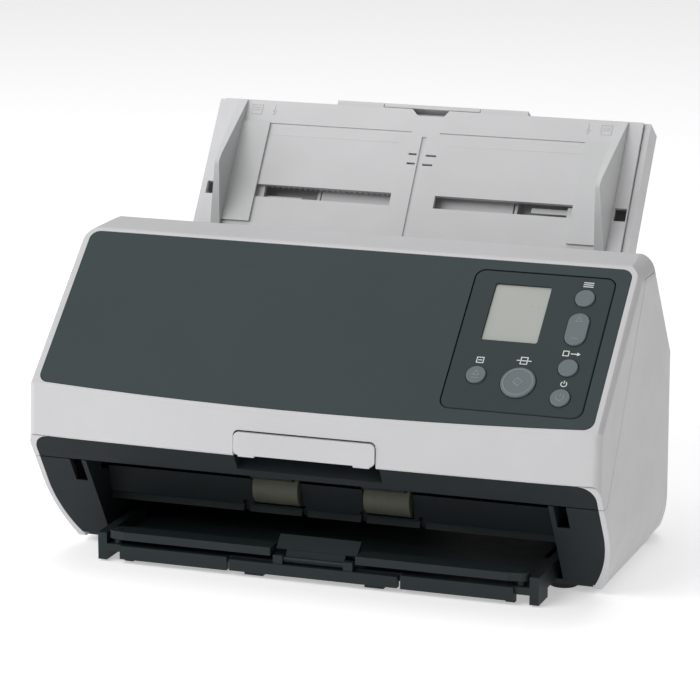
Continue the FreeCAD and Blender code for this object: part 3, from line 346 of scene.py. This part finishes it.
def raised(piece, rise, soften=0.0):
    """Give a flat figure its thickness, and round its edges where asked."""
    edit_all(piece)
    bpy.ops.mesh.extrude_region_move(TRANSFORM_OT_translate={"value": (0, 0, rise * MM)})
    bpy.ops.mesh.select_all(action="SELECT")
    bpy.ops.mesh.normals_make_consistent(inside=False)
    bpy.ops.object.mode_set(mode="OBJECT")
    if soften:
        bevel = piece.modifiers.new("edges", "BEVEL")
        bevel.width = soften * MM
        bevel.segments = 2
        bevel.limit_method = "ANGLE"
        bevel.angle_limit = math.radians(50)
        bpy.ops.object.modifier_apply(modifier=bevel.name)
        bpy.ops.object.shade_smooth_by_angle(angle=math.radians(40))
    return piece


def set_down(piece, spot, slope):
    """Stand a piece made flat at the origin on a slope, spot given in the slope's axes."""
    piece.rotation_euler = (slope, 0, 0)
    piece.location = Matrix.Rotation(slope, 3, "X") @ Vector(spot)
    apply_place(piece)
    return piece


def finished(piece, body, finish):
    piece.data.materials.clear()
    piece.data.materials.append(FINISH[finish])
    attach(piece, body)
    return piece


def slope_extent(node, slope, axis, pick):
    """Lowest or highest value of a node along one axis of a slope."""
    flat = Matrix.Rotation(-slope, 3, "X")
    return pick((flat @ vertex.co)[axis] for vertex in bpy.data.objects[node].data.vertices)


def top_spot(node):
    """Middle of a node's top face in the panel's axes: across, up the slope and out of it."""
    low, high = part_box(node)
    middle = (Vector(low) + Vector(high)) / 2
    flat = Matrix.Rotation(-PANEL_SLOPE, 3, "X")
    return Vector((middle.x, (flat @ middle).y, slope_extent(node, PANEL_SLOPE, 2, max)))


# ---- raised signs on the keys -------------------------------------------------
def key_sign(key, figures):
    """Signs moulded on a key's cap; they travel with the key."""
    sign = raised(join_all(key + "_sign", figures), RELIEF_RISE, 0.03)
    spot = top_spot(key + "_button") - Vector((0, 0, RELIEF_SINK * MM))
    return finished(set_down(sign, spot, PANEL_SLOPE), key + "_key", "key_relief")


def make_key_signs():
    key_sign("rocker", [hollowed(disc(0, 5.2, 2.2, 3)), bar(-1.9, 1.9, -6.0, -5.5)])
    key_sign("power", [
        opened_above(hollowed(disc(0, 0, 2.1)), 0.9, 1.0), bar(-0.22, 0.22, 0.3, 2.5)])
    key_sign("stop", [hollowed(disc(0, 0.5, 2.2, 3)), bar(-1.9, 1.9, -2.4, -1.95)])
    key_sign("scan", [
        hollowed(disc(0, 0, 7.7, 72), 0.55),
        hollowed(disc(0, 0, 2.7, 4, math.radians(8)), 0.5),
        bar(-1.0, 1.0, -0.2, 0.2, math.radians(45))])


# ---- printed pictures beside the keys -----------------------------------------
def key_picture(key, figures, rise_over_key=PICTURE_RISE):
    """Plain white picture above a key, printed on the control panel."""
    picture = raised(join_all(key + "_picture", figures), PRINT_RISE)
    spot = top_spot(key + "_button")
    spot.y += rise_over_key * MM
    spot.z = top_spot("control_panel").z - PRINT_SINK * MM
    return finished(set_down(picture, spot, PANEL_SLOPE), "adf_cover", "print_white")


def make_key_pictures():
    key_picture("menu", [bar(-2.6, 2.6, y, y + 0.5) for y in (0, 1.2, 2.4)])
    key_picture("manual_feed", [
        hollowed(bar(-4.6, -1.4, 0, 3.2)), bar(-0.6, 3.4, 1.35, 1.85),
        disc(3.2, 1.6, 1.2, 3, math.radians(-90))])
    key_picture("power", [
        opened_above(hollowed(disc(0, 1.4, 1.7)), 2.1, 0.8), bar(-0.22, 0.22, 1.6, 3.4)])
    key_picture("stop", [hollowed(bar(-1.9, 1.9, 0, 3.6)), bar(-1.0, 1.0, 1.55, 2.05)], 7.2)
    key_picture("scan", [hollowed(bar(-1.9, 1.9, 0, 4.4)), bar(-3.8, 3.8, 1.95, 2.45)], 11.0)


# ---- relief on the paper chute ------------------------------------------------
CHUTE_EDGE = slope_extent("chute_plate", CHUTE_SLOPE, 1, max)
CHUTE_FACE = slope_extent("chute_plate", CHUTE_SLOPE, 2, max) - 0.02 * MM


def chute_mark(name, x, drop, figures, rise=CHUTE_RELIEF_RISE):
    """Low relief moulded with the chute plate, drop down the chute from its top edge."""
    mark = raised(join_all(name, figures), rise, 0.06)
    spot = Vector((x * MM, CHUTE_EDGE - drop * MM, CHUTE_FACE))
    return finished(set_down(mark, spot, CHUTE_SLOPE), "base", "chute_white")


def make_chute_marks():
    """Sheet and arrow signs at both ends, and the two paper size lines."""
    for side, name in ((-1, "left"), (1, "right")):
        chute_mark("chute_sheet_" + name, side * 98, CHUTE_SIGN_DROP, [
            hollowed(bar(-3.2, 3.2, 0, 6.0), 0.5), bar(-1.9, 1.9, 3.9, 4.4), bar(-1.9, 1.9, 2.5, 3.0)])
        chute_mark("chute_arrow_" + name, side * 88, CHUTE_SIGN_DROP, [
            bar(-0.45, 0.45, 1.8, 6.0), disc(0, 1.6, 1.9, 3, math.radians(180))])
        chute_mark(
            "chute_size_line_" + name, side * 55, SIZE_LINE_DROP, [bar(-41, 41, 0, 0.45)],
            SIZE_LINE_RISE)


# ---- inside the exit ----------------------------------------------------------
EXIT_LIP = Vector((
    0, slope_extent("upper_paper_guide", PANEL_SLOPE, 1, min) - 2.0 * MM,
    slope_extent("upper_paper_guide", PANEL_SLOPE, 2, min) + 0.4 * MM))


def make_exit_fingers():
    """Thin sheet fingers along the exit lip, clear of the rollers: one modelled, the rest copied."""
    first = raised(join_all("exit_finger", [bar(-1.1, 1.1, 0, 5.0)]), 0.8, 0.2)
    places = [
        x for x in range(-FINGER_REACH, FINGER_REACH + 1, FINGER_STEP)
        if abs(abs(x) - ROLLER_MIDDLE) > ROLLER_ROOM]
    fingers = [first]
    while len(fingers) < len(places):
        finger = first.copy()
        finger.data = first.data.copy()
        bpy.context.collection.objects.link(finger)
        fingers.append(finger)
    for number, (finger, x) in enumerate(zip(fingers, places)):
        finger.name = f"exit_finger_{number:02d}"
        finger.data.name = finger.name
        set_down(finger, (x * MM, EXIT_LIP.y, EXIT_LIP.z), PANEL_SLOPE)
        finished(finger, "adf_cover", "finger_grey")


make_key_signs()
make_key_pictures()
make_chute_marks()
make_exit_fingers()


# ---- room, light and camera ---------------------------------------------------
def add_floor():
    """White floor that glows a little, so that it stays white behind the machine."""
    deselect()
    bpy.ops.mesh.primitive_plane_add(size=8.0, location=(0, 1.2, 0))
    floor = bpy.context.object
    floor.name = "floor"
    made = bpy.data.materials.new("floor_white")
    made.use_nodes = True
    shader = made.node_tree.nodes["Principled BSDF"]
    shader.inputs["Base Color"].default_value = (0.9, 0.9, 0.9, 1)
    shader.inputs["Roughness"].default_value = 0.9
    shader.inputs["Emission Color"].default_value = (1, 1, 1, 1)
    shader.inputs["Emission Strength"].default_value = 0.42
    floor.data.materials.append(made)


def add_light(name, place, aim, size, power):
    data = bpy.data.lights.new(name, "AREA")
    data.shape = "RECTANGLE"
    data.size, data.size_y = size
    data.energy = power
    lamp = bpy.data.objects.new(name, data)
    bpy.context.collection.objects.link(lamp)
    lamp.location = place
    lamp.rotation_euler = (Vector(aim) - Vector(place)).to_track_quat("-Z", "Y").to_euler()


def light_room(strength):
    world = bpy.context.scene.world or bpy.data.worlds.new("studio")
    bpy.context.scene.world = world
    world.use_nodes = True
    world.node_tree.nodes["Background"].inputs["Color"].default_value = (1, 1, 1, 1)
    world.node_tree.nodes["Background"].inputs["Strength"].default_value = strength


def add_camera(place, tilt, turn, lens):
    data = bpy.data.cameras.new("view")
    data.sensor_width = 36
    data.lens = lens
    view = bpy.data.objects.new("view", data)
    bpy.context.collection.objects.link(view)
    view.location = place
    view.rotation_euler = (math.radians(tilt), 0, math.radians(turn))
    bpy.context.scene.camera = view


add_floor()
add_light("key_light", (-0.9, -1.5, 1.5), (0, 0, 0.08), (1.6, 1.2), 22)
add_light("fill_light", (-1.8, -0.7, 0.6), (0, 0, 0.1), (1.2, 1.0), 8)
add_light("top_light", (-0.2, 0.5, 2.0), (0, 0, 0.1), (2.0, 1.2), 14)
light_room(0.3)
add_camera((0.5673, -1.6314, 0.5202), 76.31, 19.58, 176.7)
bpy.context.scene.view_settings.view_transform = "Standard"
